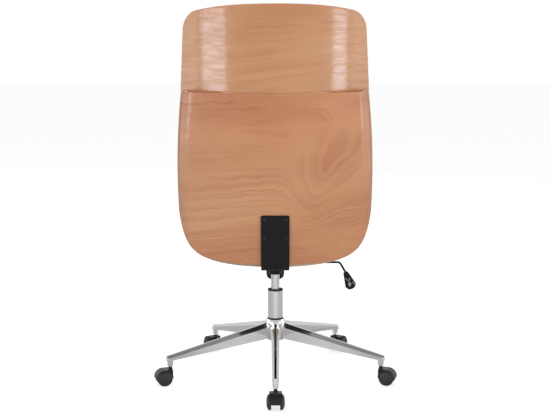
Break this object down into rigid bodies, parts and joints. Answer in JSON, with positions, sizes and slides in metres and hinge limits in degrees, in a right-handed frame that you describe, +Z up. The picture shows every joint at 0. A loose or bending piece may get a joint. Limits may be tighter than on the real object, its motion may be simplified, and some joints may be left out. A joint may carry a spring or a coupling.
{
  "type": "office armchair",
  "caption": "High-backed swivel office armchair: bent wood back with head panel and side wings, cushioned seat, lift column, tilt lever, star base on twin-wheel casters.",
  "frame": {"origin": "on the floor, under the middle of the lift column", "axes": "+Z up, the sitter faces -Y, +X is the sitter's left; one arm of the star base points to +Y"},
  "size_m": [0.7932, 0.7544, 1.232],
  "materials": {
    "polished_metal": "polished",
    "chrome": "polished",
    "steel": "zinc plated",
    "black_paint": "satin powder coat",
    "black_plastic": "fine grain",
    "wheel_plastic": "satin",
    "hood_plastic": "satin",
    "rubber": "matte",
    "veneer": "satin lacquered veneer",
    "plywood": "clear lacquered plywood",
    "upholstery": "soft grained faux leather on a cloth backing, over foam"
  },
  "bodies": {
    "base": {"star_base": "polished_metal", "caster_stem_1": "black_paint", "caster_stem_2": "black_paint", "caster_stem_3": "black_paint", "caster_stem_4": "black_paint", "caster_stem_5": "black_paint", "gas_outer_tube": "chrome", "gas_guide_bush": "black_plastic", "gas_thrust_bearing": "steel"},
    "lift_rod": {"gas_piston_rod": "steel", "gas_piston": "steel", "gas_bumper": "rubber", "gas_bottom_clip": "steel"},
    "mechanism": {"mechanism_tray": "black_paint", "tilt_shaft": "steel", "gas_inner_tube": "chrome", "gas_rod_guide": "black_plastic", "tension_spring": "steel"},
    "release_pin": {"gas_release_pin": "steel"},
    "lever_pivot": {"lever_bush": "black_plastic"},
    "lever": {"lever_rod": "black_paint", "lever_paddle": "black_plastic"},
    "seat_and_back": {"seat_plate": "black_paint", "tension_bolt": "steel", "seat_board": "plywood", "seat_bolts": "steel", "seat_tee_nuts": "steel", "seat_cushion": "upholstery", "back_bracket": "black_paint", "back_shell": "veneer", "head_panel": "veneer", "back_strap": "black_paint", "wood_screws": "steel", "back_pad_board": "plywood", "head_pad_board": "plywood", "back_cushion": "upholstery", "head_cushion": "upholstery", "arm_pad_left": "upholstery", "arm_pad_right": "upholstery"},
    "tension_knob": {"tension_knob": "black_plastic"},
    "caster_1": {"caster_hood_1": "hood_plastic", "caster_axle_1": "steel"},
    "wheel_1_a": {"caster_wheel_1_a": "wheel_plastic"},
    "wheel_1_b": {"caster_wheel_1_b": "wheel_plastic"},
    "caster_2": {"caster_hood_2": "hood_plastic", "caster_axle_2": "steel"},
    "wheel_2_a": {"caster_wheel_2_a": "wheel_plastic"},
    "wheel_2_b": {"caster_wheel_2_b": "wheel_plastic"},
    "caster_3": {"caster_hood_3": "hood_plastic", "caster_axle_3": "steel"},
    "wheel_3_a": {"caster_wheel_3_a": "wheel_plastic"},
    "wheel_3_b": {"caster_wheel_3_b": "wheel_plastic"},
    "caster_4": {"caster_hood_4": "hood_plastic", "caster_axle_4": "steel"},
    "wheel_4_a": {"caster_wheel_4_a": "wheel_plastic"},
    "wheel_4_b": {"caster_wheel_4_b": "wheel_plastic"},
    "caster_5": {"caster_hood_5": "hood_plastic", "caster_axle_5": "steel"},
    "wheel_5_a": {"caster_wheel_5_a": "wheel_plastic"},
    "wheel_5_b": {"caster_wheel_5_b": "wheel_plastic"}
  },
  "joints": [
    {"name": "seat_swivel", "type": "hinge", "parent": "base", "child": "lift_rod", "pos_m": [0, 0, 0.2], "axis": [0, 0, 1], "continuous": true},
    {"name": "seat_lift", "type": "slide", "parent": "lift_rod", "child": "mechanism", "axis": [0, 0, 1], "range_m": [-0.05, 0.045]},
    {"name": "seat_tilt", "type": "hinge", "parent": "mechanism", "child": "seat_and_back", "pos_m": [0, -0.025, 0.387], "axis": [-1, 0, 0], "range_deg": [0, 12], "stiffness_Nm_per_rad": 120, "springref_deg": -20.05, "deforming": ["tension_spring"]},
    {"name": "tension_turn", "type": "hinge", "parent": "seat_and_back", "child": "tension_knob", "pos_m": [0, -0.092, 0.33], "axis": [0, 0, 1], "range_deg": [-540, 540]},
    {"name": "lever_lift", "type": "hinge", "parent": "mechanism", "child": "lever_pivot", "pos_m": [-0.0435, 0, 0.3823], "axis": [0, 1, 0], "range_deg": [0, 4], "stiffness_Nm_per_rad": 8},
    {"name": "lever_pull", "type": "slide", "parent": "lever_pivot", "child": "lever", "axis": [-1, 0, 0], "range_m": [0, 0.01]},
    {"name": "release_press", "type": "slide", "parent": "mechanism", "child": "release_pin", "axis": [0, 0, -1], "range_m": [0, 0.0032]},
    {"name": "caster_1_swivel", "type": "hinge", "parent": "base", "child": "caster_1", "pos_m": [0, 0.3607, 0.05], "axis": [0, 0, 1], "continuous": true},
    {"name": "wheel_1_a_spin", "type": "hinge", "parent": "caster_1", "child": "wheel_1_a", "pos_m": [0, 0.3827, 0.025], "axis": [1, 0, 0], "continuous": true},
    {"name": "wheel_1_b_spin", "type": "hinge", "parent": "caster_1", "child": "wheel_1_b", "pos_m": [0, 0.3827, 0.025], "axis": [1, 0, 0], "continuous": true},
    {"name": "caster_2_swivel", "type": "hinge", "parent": "base", "child": "caster_2", "pos_m": [-0.34305, 0.11146, 0.05], "axis": [0, 0, 1], "continuous": true},
    {"name": "wheel_2_a_spin", "type": "hinge", "parent": "caster_2", "child": "wheel_2_a", "pos_m": [-0.36397, 0.11826, 0.025], "axis": [0.309, 0.9511, 0], "continuous": true},
    {"name": "wheel_2_b_spin", "type": "hinge", "parent": "caster_2", "child": "wheel_2_b", "pos_m": [-0.36397, 0.11826, 0.025], "axis": [0.309, 0.9511, 0], "continuous": true},
    {"name": "caster_3_swivel", "type": "hinge", "parent": "base", "child": "caster_3", "pos_m": [-0.21201, -0.29181, 0.05], "axis": [0, 0, 1], "continuous": true},
    {"name": "wheel_3_a_spin", "type": "hinge", "parent": "caster_3", "child": "wheel_3_a", "pos_m": [-0.22495, -0.30961, 0.025], "axis": [-0.809, 0.5878, 0], "continuous": true},
    {"name": "wheel_3_b_spin", "type": "hinge", "parent": "caster_3", "child": "wheel_3_b", "pos_m": [-0.22495, -0.30961, 0.025], "axis": [-0.809, 0.5878, 0], "continuous": true},
    {"name": "caster_4_swivel", "type": "hinge", "parent": "base", "child": "caster_4", "pos_m": [0.21201, -0.29181, 0.05], "axis": [0, 0, 1], "continuous": true},
    {"name": "wheel_4_a_spin", "type": "hinge", "parent": "caster_4", "child": "wheel_4_a", "pos_m": [0.22495, -0.30961, 0.025], "axis": [-0.809, -0.5878, 0], "continuous": true},
    {"name": "wheel_4_b_spin", "type": "hinge", "parent": "caster_4", "child": "wheel_4_b", "pos_m": [0.22495, -0.30961, 0.025], "axis": [-0.809, -0.5878, 0], "continuous": true},
    {"name": "caster_5_swivel", "type": "hinge", "parent": "base", "child": "caster_5", "pos_m": [0.34305, 0.11146, 0.05], "axis": [0, 0, 1], "continuous": true},
    {"name": "wheel_5_a_spin", "type": "hinge", "parent": "caster_5", "child": "wheel_5_a", "pos_m": [0.36397, 0.11826, 0.025], "axis": [0.309, -0.9511, 0], "continuous": true},
    {"name": "wheel_5_b_spin", "type": "hinge", "parent": "caster_5", "child": "wheel_5_b", "pos_m": [0.36397, 0.11826, 0.025], "axis": [0.309, -0.9511, 0], "continuous": true}
  ],
  "couplings": [
    {"joint": "release_press", "follows": "lever_lift", "m_per_rad": 0.0435}
  ]
}
